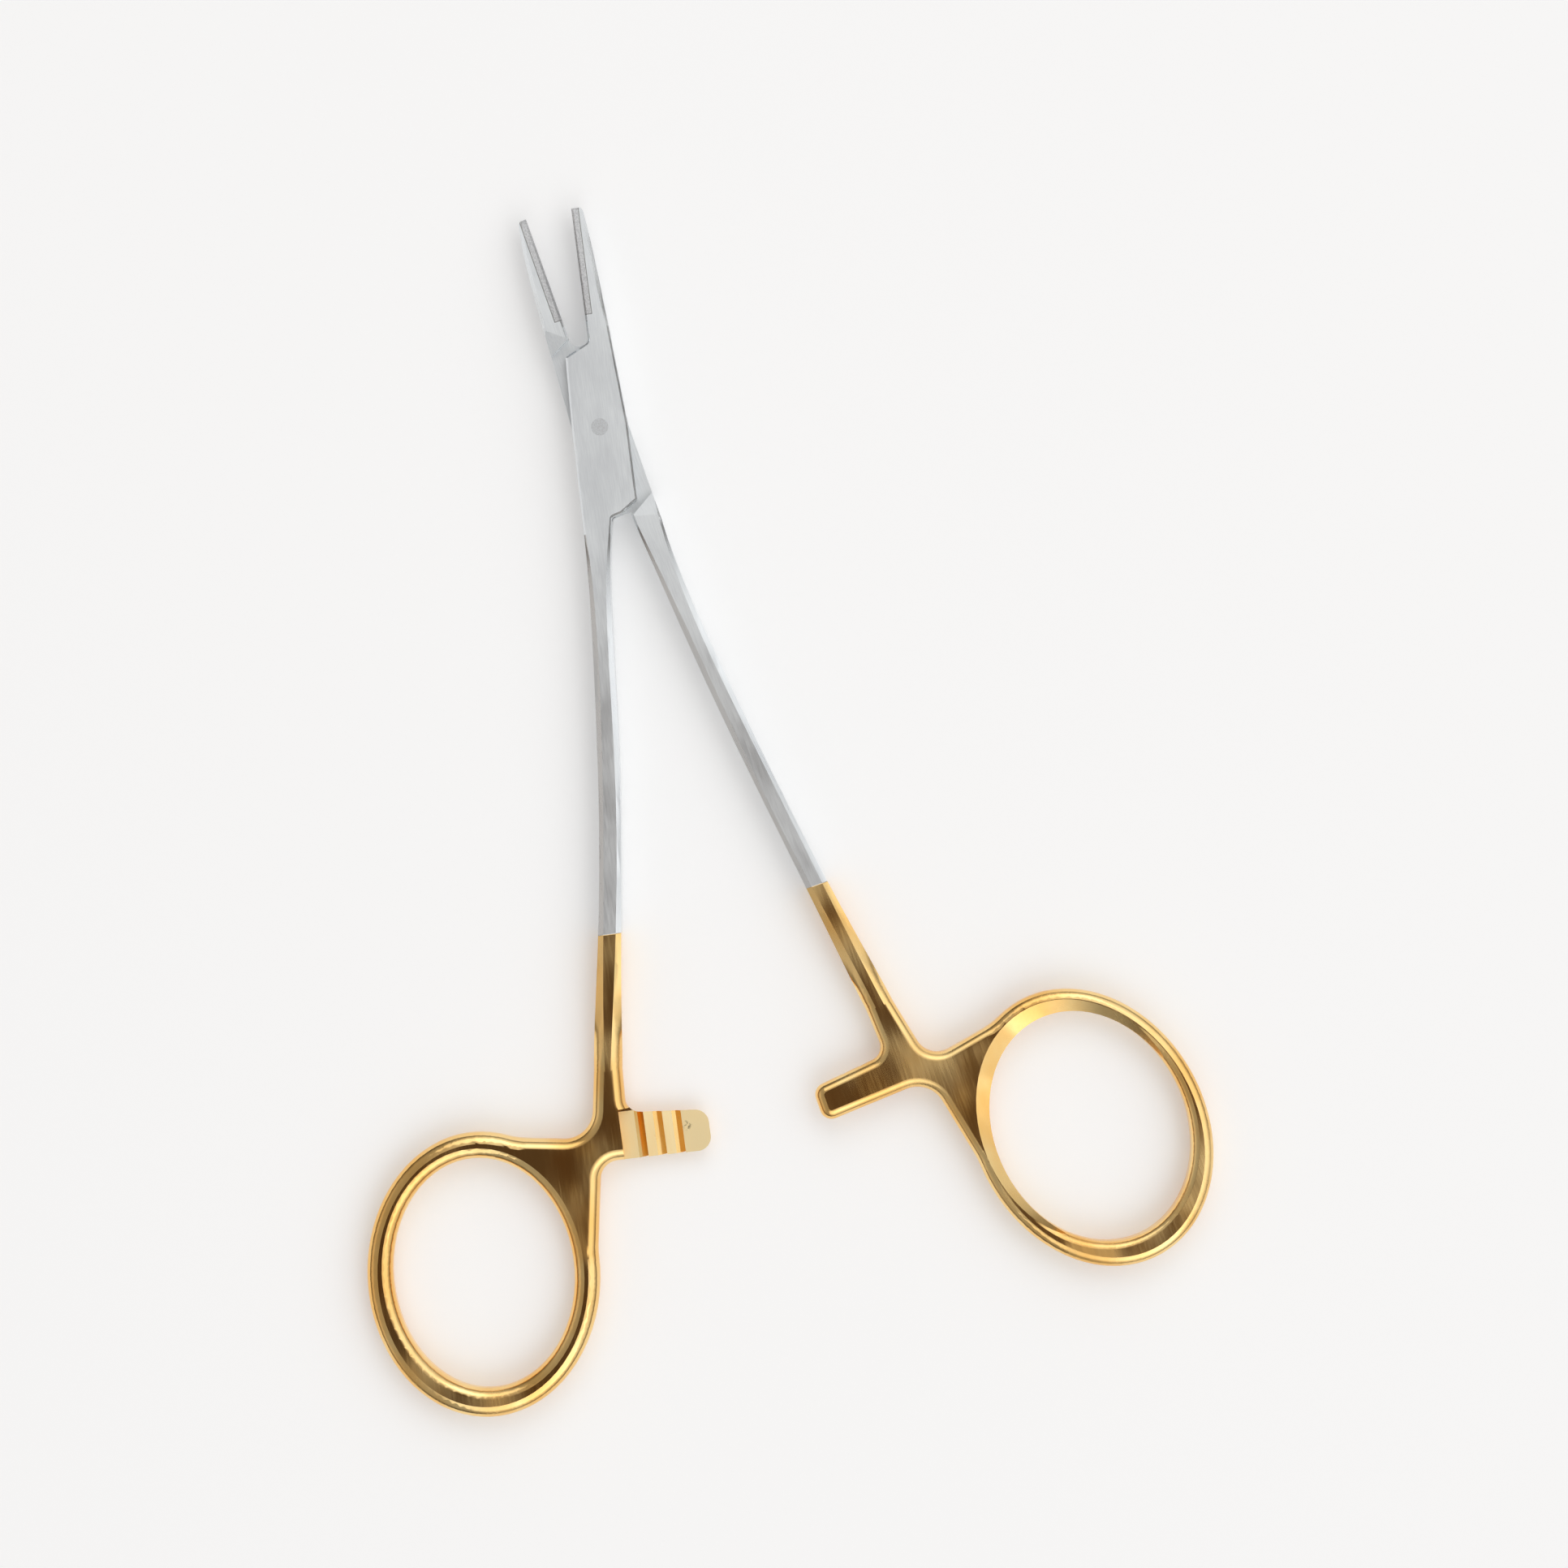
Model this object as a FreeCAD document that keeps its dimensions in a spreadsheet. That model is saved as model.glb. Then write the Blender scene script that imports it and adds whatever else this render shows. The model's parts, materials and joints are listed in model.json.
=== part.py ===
import FreeCAD, Part
import math
import os
import Sketcher

# Surgical needle holder with a box lock, in millimetres.
# The origin is on the pivot axis at the resting underside. +Z is up, and +Y runs along the closed
# centre line of the box half, towards the jaws. Both halves are drawn closed, side by side about
# that centre line, and the tongue half is then swung open about the pivot.

SIZES = {
    # The rest pose, and the running gaps between the two halves
    "openAngle": 12.0,
    "slotGap": 0.05,
    "pinGap": 0.04,
    "sideGap": 0.12,
    "jawFaceGap": 0.02,
    "ratchetGap": 0.04,
    # Thicknesses
    "boxThickness": 4.2,
    "slotHeight": 1.56,
    "hubThickness": 3.1,
    "tipThickness": 1.9,
    # The pivot pin
    "pinDiameter": 1.8,
    # The box, with distances above and below the pivot
    "boxSide": 2.92,
    "boxHeelSide": 2.87,
    "boxCheekTop": 7.7,
    "boxCheekTopSide": 2.6,
    "boxCrotch": 8.98,
    "boxCrotchRound": 0.6,
    "boxCheekHeel": 8.0,
    "boxHeelCorner": 9.5,
    "boxHeelPointRise": 0.3,
    "boxHeelPointSide": 1.1,
    "boxHeelRound": 0.4,
    "boxEdgeBevel": 0.2,
    # The slot through the box, ending just past the crotch and just short of the heel
    "slotPastCrotch": 0.04,
    "slotShortOfHeel": 0.04,
    "slotCornerSide": 1.75,
    "slotNeckSide": 2.55,
    "slotNeckRise": 2.3,
    "slotMouthRise": 0.6,
    # The tongue, and the gaps from the box's ends to the shoulders where it steps up
    "tongueSide": 2.9,
    "tongueMouthRise": 0.2,
    "tongueCrotchRound": 1.0,
    "tongueHeelSide": 2.85,
    "jawShoulderInnerGap": 0.82,
    "jawShoulderOuterGap": 0.7,
    "heelShoulderInnerGap": 0.48,
    "heelShoulderOuterGap": 0.25,
    "tongueJawFacetEnd": 3.1,
    "tongueJawFacetDrop": 0.9,
    "tongueHeelFacetEnd": 2.45,
    "tongueHeelFacetDrop": 0.3,
    # The jaws, with widths from the closed face to the outer edge
    "boxJawRootRise": 1.42,
    "tongueJawRootRise": 2.72,
    "jawTip": 23.3,
    "jawMiddleShare": 0.36,
    "jawNoseDrop": 3.3,
    "jawThinning": 1.5,
    "jawBevel": 0.4,
    "jawTipRound": 0.45,
    "boxJawRootWidth": 2.3,
    "boxJawMiddleWidth": 1.97,
    "boxJawNoseWidth": 1.55,
    "boxJawTipWidth": 1.15,
    "tongueJawRootWidth": 2.15,
    "tongueJawMiddleWidth": 1.85,
    "tongueJawNoseWidth": 1.45,
    "tongueJawTipWidth": 0.85,
    # The carbide inserts
    "insertThickness": 0.7,
    "insertStart": 11.9,
    # The shanks: how far below the box's heel they start, and the sections' distances below the pivot
    "shankTopDrop": 1.5,
    "shankNeck": 20.0,
    "shankMiddle": 35.0,
    "shankLower": 50.0,
    "hubTop": 67.0,
    "shankFlareRise": 7.0,
    "shankBevelRun": 0.5,
    "shankBevelDrop": 0.28,
    "shankFlareBevelRun": 0.85,
    "shankFlareBevelDrop": 0.5,
    "shankEndExtraRound": 0.04,
    # The shanks: each section's outer edge, measured from the closed centre line, and width
    "boxShankTopEdge": 3.12,
    "boxShankNeckEdge": 3.57,
    "boxShankMiddleEdge": 4.9,
    "boxShankLowerEdge": 6.79,
    "boxShankFlareEdge": 8.5,
    "boxHubTopEdge": 9.65,
    "boxShankTopWidth": 2.82,
    "boxShankNeckWidth": 2.15,
    "boxShankMiddleWidth": 2.28,
    "boxShankLowerWidth": 2.36,
    "boxShankFlareWidth": 2.75,
    "boxHubTopWidth": 3.05,
    "tongueShankTopEdge": 2.87,
    "tongueShankNeckEdge": 2.97,
    "tongueShankMiddleEdge": 4.32,
    "tongueShankLowerEdge": 6.1,
    "tongueShankFlareEdge": 7.65,
    "tongueHubTopEdge": 8.8,
    "tongueShankTopWidth": 2.77,
    "tongueShankNeckWidth": 2.2,
    "tongueShankMiddleWidth": 2.2,
    "tongueShankLowerWidth": 2.25,
    "tongueShankFlareWidth": 2.65,
    "tongueHubTopWidth": 3.0,
    # The hubs, where shank, ratchet arm and ring meet, with drops measured from the hub's top
    "hubInnerRound": 1.5,
    "boxHubRound": 1.2,
    "boxHubShoulderSide": 10.8,
    "boxHubShoulderDrop": 6.95,
    "boxHubShoulderRound": 3.0,
    "boxHubHeelSide": 10.1,
    "boxHubHeelDrop": 9.45,
    "boxHubHeelRound": 2.0,
    "boxHubInnerSide": 6.8,
    "boxHubInnerDrop": 4.65,
    "tongueHubRound": 1.0,
    "tongueHubShoulderSide": 10.3,
    "tongueHubShoulderDrop": 7.1,
    "tongueHubShoulderRound": 2.4,
    "tongueHubHeelSide": 9.6,
    "tongueHubHeelDrop": 9.05,
    "tongueHubHeelRound": 3.0,
    "tongueHubInnerSide": 6.05,
    "tongueHubInnerDrop": 4.95,
    # The ratchet arms
    "boxArmReach": 1.65,
    "boxArmEndDrop": 5.45,
    "boxArmEndHeight": 4.25,
    "tongueArmReach": 2.3,
    "tongueArmEndDrop": 5.8,
    "tongueArmEndHeight": 3.85,
    "armEndExtraRound": 0.25,
    # The ratchet teeth
    "ratchetStep": 7.6,
    "ratchetMillRise": 0.5,
    "firstTooth": 5.1,
    "toothPitch": 1.97,
    "toothDepth": 0.7,
    "toothCrest": 1.0,
    "toothCrestDrop": 0.15,
    "firstRamp": 0.95,
    # The finger rings: ovals whose long axes lean from the closed centre line
    "boxRingSide": 23.9,
    "boxRingDrop": 19.5,
    "boxRingWidth": 24.5,
    "boxRingLength": 30.0,
    "boxRingLean": 4.3,
    "tongueRingSide": 23.85,
    "tongueRingDrop": 19.45,
    "tongueRingWidth": 24.3,
    "tongueRingLength": 30.5,
    "tongueRingLean": 9.6,
    # The holes in the rings: how much metal is round them, and how far off the ring's middle
    "boxHoleRim": 2.75,
    "boxHoleEndRim": 2.9,
    "boxHoleShift": -0.03,
    "boxHoleRise": 0.15,
    "boxHoleLean": 1.6,
    "tongueHoleRim": 2.05,
    "tongueHoleEndRim": 2.75,
    "tongueHoleShift": 0.05,
    "tongueHoleRise": 0.15,
    "tongueHoleLean": 6.5,
    "holeRoundShare": 0.4,
    # The wide slope that leads into the tongue half's ring from the hub
    "slopeGrowth": 0.7,
    "slopeShift": 0.5,
    "slopeRise": 0.8,
    "slopeDepth": 0.85,
    "slopeInset": 0.3,
    # Where the hub's edges run into the ring's metal, and the roundings there
    "hubIntoRingSide": 0.35,
    "hubIntoRingDrop": 1.4,
    "hubIntoRingTopSide": 2.4,
    "hubIntoRingTop": 0.8,
    "hubInRingLow": 90.0,
    "hubInRingMiddle": 60.0,
    "hubInRingHigh": 33.0,
    "hubToRingRound": 8.0,
}

# How far a cutting shape runs past the metal it cuts, and a facet past its lowest corner
OVERRUN = 1.5
FACET_OVERRUN = 1.1
# How near two places must lie to count as the same, and how close a halving search must come
SAME_PLACE = 0.001
SEARCH_END = 0.0001


class Size:
    """A number together with the sheet formula that gives it."""

    def __init__(self, value, formula):
        self.value = value
        self.formula = formula

    def __add__(self, other):
        other = as_size(other)
        return Size(self.value + other.value, f"({self.formula} + {other.formula})")

    def __sub__(self, other):
        other = as_size(other)
        return Size(self.value - other.value, f"({self.formula} - {other.formula})")

    def __mul__(self, other):
        other = as_size(other)
        return Size(self.value * other.value, f"({self.formula} * {other.formula})")

    def __truediv__(self, other):
        other = as_size(other)
        return Size(self.value / other.value, f"({self.formula} / {other.formula})")

    def __neg__(self):
        return Size(-self.value, f"(-1 * {self.formula})")

    def to_power(self, other):
        return Size(self.value ** other.value, f"pow({self.formula}; {other.formula})")


def as_size(number):
    if isinstance(number, Size):
        return number
    return Size(float(number), f"({float(number)})")


def size(name):
    return Size(SIZES[name], f"Sizes.{name}")


def sine(angle):
    return Size(math.sin(math.radians(angle.value)), f"sin({angle.formula} * 1 deg)")


def cosine(angle):
    return Size(math.cos(math.radians(angle.value)), f"cos({angle.formula} * 1 deg)")


def root(number):
    return Size(math.sqrt(number.value), f"sqrt({number.formula})")


document = FreeCAD.newDocument("NeedleHolder")
sheet = document.addObject("Spreadsheet::Sheet", "Sizes")
for row, (alias, number) in enumerate(SIZES.items(), start=1):
    sheet.set(f"A{row}", alias)
    sheet.set(f"B{row}", str(number))
    sheet.setAlias(f"B{row}", alias)
document.recompute()


class Half:
    """One half of the instrument: its name, its side of the centre line and its size names."""

    def __init__(self, name, side, teeth_up, sloped_ring):
        self.name = name
        self.side = side
        self.teeth_up = teeth_up
        self.sloped_ring = sloped_ring

    def size(self, word):
        return size(self.name + word)

    def across(self, distance):
        """A distance to the jaw's side of the centre line; the shank lies on the other side."""
        return as_size(distance) * self.side

    def level(self, height):
        """A height, turned over on the half whose ratchet teeth point down."""
        return as_size(height) if self.teeth_up else size("boxThickness") - height


def origin_plane(body, role):
    for feature in body.Origin.OriginFeatures:
        if feature.Role == role:
            return feature
    raise ValueError(role)


def add_sketch(body, name, role, offset=0.0):
    """A sketch on one of the body's own planes, moved along the plane's normal."""
    sketch = body.newObject("Sketcher::SketchObject", name)
    sketch.AttachmentSupport = [(origin_plane(body, role), "")]
    sketch.MapMode = "FlatFace"
    sketch.setExpression("AttachmentOffset.Base.z", as_size(offset).formula)
    return sketch


def pin_point(sketch, geometry, position, point):
    """Holds a point of the sketch at sizes taken from the sheet."""
    for kind, coordinate in zip(("DistanceX", "DistanceY"), point):
        coordinate = as_size(coordinate)
        index = sketch.addConstraint(
            Sketcher.Constraint(kind, -1, 1, geometry, position, coordinate.value)
        )
        sketch.setExpression(f"Constraints[{index}]", coordinate.formula)


def draw_polygon(sketch, corners):
    """A closed chain of straight lines through the given corners."""
    places = [FreeCAD.Vector(as_size(x).value, as_size(y).value, 0) for x, y in corners]
    first = sketch.GeometryCount
    count = len(places)
    for index in range(count):
        sketch.addGeometry(Part.LineSegment(places[index], places[(index + 1) % count]), False)
    for index in range(count):
        following = first + (index + 1) % count
        sketch.addConstraint(Sketcher.Constraint("Coincident", first + index, 2, following, 1))
    for index, corner in enumerate(corners):
        pin_point(sketch, first + index, 1, corner)


def draw_oval(sketch, centre, width, length, lean_across):
    """An ellipse longer than it is wide, its long axis tilted by the unit vector given."""
    middle = FreeCAD.Vector(centre[0].value, centre[1].value, 0)
    along = FreeCAD.Vector(lean_across[0].value, lean_across[1].value, 0)
    sideways = FreeCAD.Vector(-along.y, along.x, 0)
    far = middle + along * (length.value / 2)
    near = middle + sideways * (width.value / 2)
    oval = sketch.addGeometry(Part.Ellipse(far, near, middle), False)
    sketch.exposeInternalGeometry(oval)
    long_axis = oval + 1
    short_axis = oval + 2
    pin_point(sketch, oval, 3, centre)
    pin_point(
        sketch,
        long_axis,
        1,
        (centre[0] + lean_across[0] * length / 2, centre[1] + lean_across[1] * length / 2),
    )
    index = sketch.addConstraint(Sketcher.Constraint("Distance", short_axis, width.value))
    sketch.setExpression(f"Constraints[{index}]", width.formula)


def add_pad(body, name, sketch, length):
    pad = body.newObject("PartDesign::Pad", name)
    pad.Profile = sketch
    pad.setExpression("Length", as_size(length).formula)
    document.recompute()
    return pad


def add_pocket(body, name, sketch, length, direction="against"):
    """A cut against the sketch's normal, along it, or half of it each way."""
    before = body.Shape.Volume
    pocket = body.newObject("PartDesign::Pocket", name)
    pocket.Profile = sketch
    pocket.Reversed = direction == "along"
    if direction == "both":
        pocket.SideType = "Symmetric"
    pocket.setExpression("Length", as_size(length).formula)
    document.recompute()
    if not pocket.Shape.Volume < before:
        raise RuntimeError(name + " removed nothing")
    return pocket


def upright_edge(shape, corner):
    """The name of the vertical edge that stands at a corner of the plan."""
    x = as_size(corner[0]).value
    y = as_size(corner[1]).value
    best = None
    for number, edge in enumerate(shape.Edges, start=1):
        start = edge.Vertexes[0].Point
        end = edge.Vertexes[-1].Point
        leans = math.hypot(start.x - end.x, start.y - end.y) > SAME_PLACE
        if leans or abs(start.z - end.z) < SAME_PLACE:
            continue
        distance = math.hypot(start.x - x, start.y - y)
        if best is None or distance < best[0]:
            best = (distance, f"Edge{number}")
    return best[1]


def round_corners(body, name, rounds):
    """Rounds vertical edges, one fillet for each (corner, radius) pair."""
    for index, (corner, radius) in enumerate(rounds, start=1):
        base = body.Tip
        fillet = body.newObject("PartDesign::Fillet", f"{name}{index}")
        fillet.Base = (base, [upright_edge(base.Shape, corner)])
        fillet.setExpression("Radius", as_size(radius).formula)
        document.recompute()


def joins(edge, corners):
    """Whether both ends of an edge stand above or below corners of the plan."""
    return all(
        any(math.hypot(end.X - x.value, end.Y - y.value) < SAME_PLACE for x, y in corners)
        for end in edge.Vertexes
    )


def level_edges(shape, heights, skip):
    """Names of the edges that lie flat at one of the heights, but for those that skip() picks."""
    names = []
    for number, edge in enumerate(shape.Edges, start=1):
        box = edge.BoundBox
        flat = box.ZLength < SAME_PLACE
        if flat and any(abs(box.ZMin - height) < SAME_PLACE for height in heights):
            if not skip(edge):
                names.append(f"Edge{number}")
    return names


def round_level_edges(body, name, heights, skip, radius):
    """Rounds all edges that lie flat at the given heights, but for those that skip() picks."""
    base = body.Tip
    fillet = body.newObject("PartDesign::Fillet", name)
    fillet.Base = (base, level_edges(base.Shape, heights, skip))
    fillet.setExpression("Radius", radius.formula)
    document.recompute()


def bevel_block(half, body):
    """Breaks a block's upper and lower edges, but for those that meet the jaw and the shank."""
    heights = (0.0, size("boxThickness").value)
    shank_inner = half.size("ShankTopEdge") - half.size("ShankTopWidth")
    jaw_joint = [
        (half.across(size("jawFaceGap")), jaw_root(half)),
        (half.across(half.size("JawRootWidth")), jaw_root(half)),
    ]
    shank_joint = [
        (-half.across(shank_inner), -shank_top()),
        (-half.across(half.size("ShankTopEdge")), -shank_top()),
    ]

    def hidden(edge):
        return joins(edge, jaw_joint) or joins(edge, shank_joint)

    base = body.Tip
    bevel = body.newObject("PartDesign::Chamfer", half.name + "BlockBevels")
    bevel.Base = (base, level_edges(base.Shape, heights, hidden))
    bevel.setExpression("Size", size("boxEdgeBevel").formula)
    document.recompute()


def add_corner_arc(sketch, start, end, corner, radius):
    """A quarter round between two points, bulging towards the corner it takes off."""
    ends = [FreeCAD.Vector(x.value, y.value, 0) for x, y in (start, end)]
    sharp = FreeCAD.Vector(corner[0].value, corner[1].value, 0)
    centre = ends[0] + ends[1] - sharp
    outward = sharp - centre
    outward.normalize()
    arc = sketch.addGeometry(Part.Arc(ends[0], centre + outward * radius.value, ends[1]), False)
    index = sketch.addConstraint(Sketcher.Constraint("Radius", arc, radius.value))
    sketch.setExpression(f"Constraints[{index}]", radius.formula)
    forward = (sketch.getPoint(arc, 1) - ends[0]).Length < radius.value / 10
    return (arc, 1, 2) if forward else (arc, 2, 1)


def add_section(body, name, below, near, far, thickness, run, drop, rounded):
    """A cross section of a shank, square to the centre line, its corners bevelled or rounded."""
    sketch = add_sketch(body, name, "XZ_Plane", below)
    middle = size("boxThickness") / 2
    top = middle + thickness / 2
    bottom = middle - thickness / 2
    inward = run if far.value > near.value else -run
    chain = [
        (near, bottom + drop),
        (near + inward, bottom),
        (far - inward, bottom),
        (far, bottom + drop),
        (far, top - drop),
        (far - inward, top),
        (near + inward, top),
        (near, top - drop),
    ]
    if not rounded:
        draw_polygon(sketch, chain)
        return sketch
    corners = [(near, bottom), (far, bottom), (far, top), (near, top)]
    pieces = []
    for index, corner in enumerate(corners):
        start = chain[index * 2]
        end = chain[index * 2 + 1]
        pieces.append(add_corner_arc(sketch, start, end, corner, run))
        following = chain[(index * 2 + 2) % len(chain)]
        spots = [FreeCAD.Vector(x.value, y.value, 0) for x, y in (end, following)]
        side = sketch.addGeometry(Part.LineSegment(*spots), False)
        pin_point(sketch, side, 1, end)
        pin_point(sketch, side, 2, following)
        pieces.append((side, 1, 2))
    for piece, following in zip(pieces, pieces[1:] + pieces[:1]):
        joint = Sketcher.Constraint("Coincident", piece[0], piece[2], following[0], following[1])
        sketch.addConstraint(joint)
    return sketch


def shank_top():
    """How far below the pivot the shanks start."""
    return size("boxHeelCorner") + size("shankTopDrop")


def add_loft(body, name, sections):
    loft = body.newObject("PartDesign::AdditiveLoft", name)
    loft.Profile = sections[0]
    loft.Sections = sections[1:]
    document.recompute()
    return loft


def ring_centre(half):
    return half.size("RingSide"), size("hubTop") + half.size("RingDrop")


def hole_oval(half):
    """The middle, width and length of the hole in a ring."""
    side, below = ring_centre(half)
    width = half.size("RingWidth") - half.size("HoleRim") * 2
    length = half.size("RingLength") - half.size("HoleEndRim") * 2
    return side + half.size("HoleShift"), below - half.size("HoleRise"), width, length


def draw_ring_oval(half, sketch, side, below, width, length, lean):
    """An oval of a finger ring, given by where its middle is and how far it leans outwards."""
    middle = (-half.across(side), -below)
    draw_oval(sketch, middle, width, length, (half.across(sine(lean)), cosine(lean)))


def ring_middle(half, turn):
    """A point midway through the ring's metal, turned from its top towards the centre line."""
    side, below = ring_centre(half)
    hole_width, hole_length = hole_oval(half)[2:]
    inward = (half.size("RingWidth") + hole_width) / 4 * sine(turn)
    upward = (half.size("RingLength") + hole_length) / 4 * cosine(turn)
    return -half.across(side - inward), upward - below


def rim_crossing(half, outside, inside):
    """Where a line that runs into the ring crosses its rim, found by halving the line."""
    side, below = ring_centre(half)
    lean = half.size("RingLean")
    lean_x = half.across(sine(lean)).value
    lean_y = cosine(lean).value
    reach = 1.0
    step = 0.5
    while step > SEARCH_END:
        x = outside[0].value + (inside[0].value - outside[0].value) * reach
        y = outside[1].value + (inside[1].value - outside[1].value) * reach
        from_middle = (x + half.across(side).value, y + below.value)
        along = from_middle[0] * lean_x + from_middle[1] * lean_y
        across = from_middle[0] * lean_y - from_middle[1] * lean_x
        wide = across / half.size("RingWidth").value
        long = along / half.size("RingLength").value
        reach += step if math.hypot(wide, long) > 0.5 else -step
        step /= 2
    return x, y


def make_hub(half):
    """The hub, its ratchet arm and the finger ring, as one flat forging with rounded edges."""
    body = document.addObject("PartDesign::Body", half.name + "HubForm")
    bottom = (size("boxThickness") - size("hubThickness")) / 2
    top = bottom + size("hubThickness")
    heights = (bottom.value, top.value)
    outline = add_sketch(body, half.name + "HubOutline", "XY_Plane", bottom)

    def spot(side, drop):
        return -half.across(side), -(size("hubTop") + drop)

    inner_side = half.size("HubTopEdge") - half.size("HubTopWidth")
    shank_end = [spot(half.size("HubTopEdge"), as_size(0.0)), spot(inner_side, as_size(0.0))]
    inner = spot(half.size("HubInnerSide"), half.size("HubInnerDrop"))
    arm_end = spot(-half.size("ArmReach"), half.size("ArmEndDrop"))
    arm_heel = spot(-half.size("ArmReach"), half.size("ArmEndDrop") + half.size("ArmEndHeight"))
    heel = spot(half.size("HubHeelSide"), half.size("HubHeelDrop"))
    shoulder = spot(half.size("HubShoulderSide"), half.size("HubShoulderDrop"))
    ring_side, ring_below = ring_centre(half)
    side_foot = (
        -half.across(ring_side - half.size("RingWidth") / 2 + size("hubIntoRingSide")),
        -(ring_below + size("hubIntoRingDrop")),
    )
    top_foot = (
        -half.across(ring_side - size("hubIntoRingTopSide")),
        -(ring_below - half.size("RingLength") / 2 + size("hubIntoRingTop")),
    )
    inside_ring = [ring_middle(half, size("hubInRing" + word)) for word in ("Low", "Middle", "High")]
    chain = shank_end + [inner, arm_end, arm_heel, heel, side_foot] + inside_ring
    draw_polygon(outline, chain + [top_foot, shoulder])
    document.recompute()
    add_pad(body, half.name + "HubPad", outline, size("hubThickness"))
    rim = add_sketch(body, half.name + "RingRim", "XY_Plane", bottom)
    ring_width = half.size("RingWidth")
    ring_length = half.size("RingLength")
    lean = half.size("RingLean")
    draw_ring_oval(half, rim, ring_side, ring_below, ring_width, ring_length, lean)
    document.recompute()
    add_pad(body, half.name + "RingPad", rim, size("hubThickness"))
    round_corners(
        body,
        half.name + "HubCorner",
        [
            (shoulder, half.size("HubShoulderRound")),
            (inner, size("hubInnerRound")),
            (heel, half.size("HubHeelRound")),
            (arm_end, half.size("HubRound") + size("armEndExtraRound")),
            (arm_heel, half.size("HubRound") + size("armEndExtraRound")),
            (rim_crossing(half, shoulder, top_foot), size("hubToRingRound")),
            (rim_crossing(half, heel, side_foot), size("hubToRingRound")),
        ],
    )
    round_level_edges(
        body,
        half.name + "HubEdges",
        heights,
        lambda edge: joins(edge, shank_end),
        half.size("HubRound"),
    )
    cut_hole(half, body, top)
    if half.sloped_ring:
        slope_into_ring(half, body)
    cut_teeth(half, body)
    return body


def cut_hole(half, body, top):
    """The finger hole, with its edges rounded."""
    sketch = add_sketch(body, half.name + "HoleOutline", "XY_Plane", top)
    lean = half.size("HoleLean")
    draw_ring_oval(half, sketch, *hole_oval(half), lean)
    document.recompute()
    before = {edge_place(edge) for edge in body.Tip.Shape.Edges}
    add_pocket(body, half.name + "Hole", sketch, size("hubThickness"))
    bottom = top - size("hubThickness")
    heights = (bottom.value, top.value)
    radius = half.size("HoleRim") * size("holeRoundShare")

    def older(edge):
        return edge_place(edge) in before

    round_level_edges(body, half.name + "HoleEdges", heights, older, radius)


def edge_place(edge):
    """Where an edge lies, to tell old edges from new ones."""
    box = edge.BoundBox
    return tuple(round(number, 3) for number in (box.XMin, box.XMax, box.YMin, box.YMax, box.ZMin))


def slope_into_ring(half, body):
    """The wide slopes that lead into the ring from the hub, one on each face."""
    middle = size("boxThickness") / 2
    half_thickness = size("hubThickness") / 2
    side, below, width, length = hole_oval(half)
    lean = half.size("HoleLean")
    grown = size("slopeGrowth") * 2
    shrunk = size("slopeInset") * 2
    for face, away in (("Upper", 1), ("Lower", -1)):
        mouth = add_sketch(
            body, f"{half.name}{face}SlopeMouth", "XY_Plane", middle + half_thickness * away
        )
        draw_ring_oval(
            half,
            mouth,
            side - size("slopeShift"),
            below - size("slopeRise"),
            width + grown,
            length + grown,
            lean,
        )
        throat = add_sketch(
            body,
            f"{half.name}{face}SlopeThroat",
            "XY_Plane",
            middle + (half_thickness - size("slopeDepth")) * away,
        )
        draw_ring_oval(half, throat, side, below, width - shrunk, length - shrunk, lean)
        document.recompute()
        slope = body.newObject("PartDesign::SubtractiveLoft", f"{half.name}{face}Slope")
        slope.Profile = mouth
        slope.Sections = [throat]
        document.recompute()


def cut_teeth(half, body):
    """Thins the ratchet arm to half the hub's thickness and gives it its saw teeth."""
    start = size("hubTop") + half.size("HubInnerDrop") - size("ratchetMillRise")
    length = half.size("ArmEndDrop") + half.size("ArmEndHeight") - half.size("HubInnerDrop")
    sketch = add_sketch(body, half.name + "TeethProfile", "XZ_Plane", start)
    across = half.across
    crest = size("boxThickness") / 2 - size("ratchetGap")
    clear = size("boxThickness")
    profile = [
        (-across(size("ratchetStep")), half.level(clear)),
        (-across(size("ratchetStep")), half.level(crest)),
        (-across(size("firstTooth") + size("firstRamp")), half.level(crest)),
        (-across(size("firstTooth")), half.level(crest - size("toothDepth"))),
        (-across(size("firstTooth")), half.level(crest)),
    ]
    for tooth in range(2):
        rise = size("firstTooth") - size("toothPitch") * tooth
        end = size("firstTooth") - size("toothPitch") * (tooth + 1)
        profile.append(
            (-across(rise - size("toothCrest")), half.level(crest - size("toothCrestDrop")))
        )
        profile.append((-across(end), half.level(crest - size("toothDepth"))))
        profile.append((-across(end), half.level(crest)))
    reach = half.size("ArmReach") + OVERRUN
    profile.append((across(reach), half.level(crest)))
    profile.append((across(reach), half.level(clear)))
    draw_polygon(sketch, profile)
    document.recompute()
    add_pocket(body, half.name + "Teeth", sketch, length + OVERRUN * 2, "along")


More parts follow.
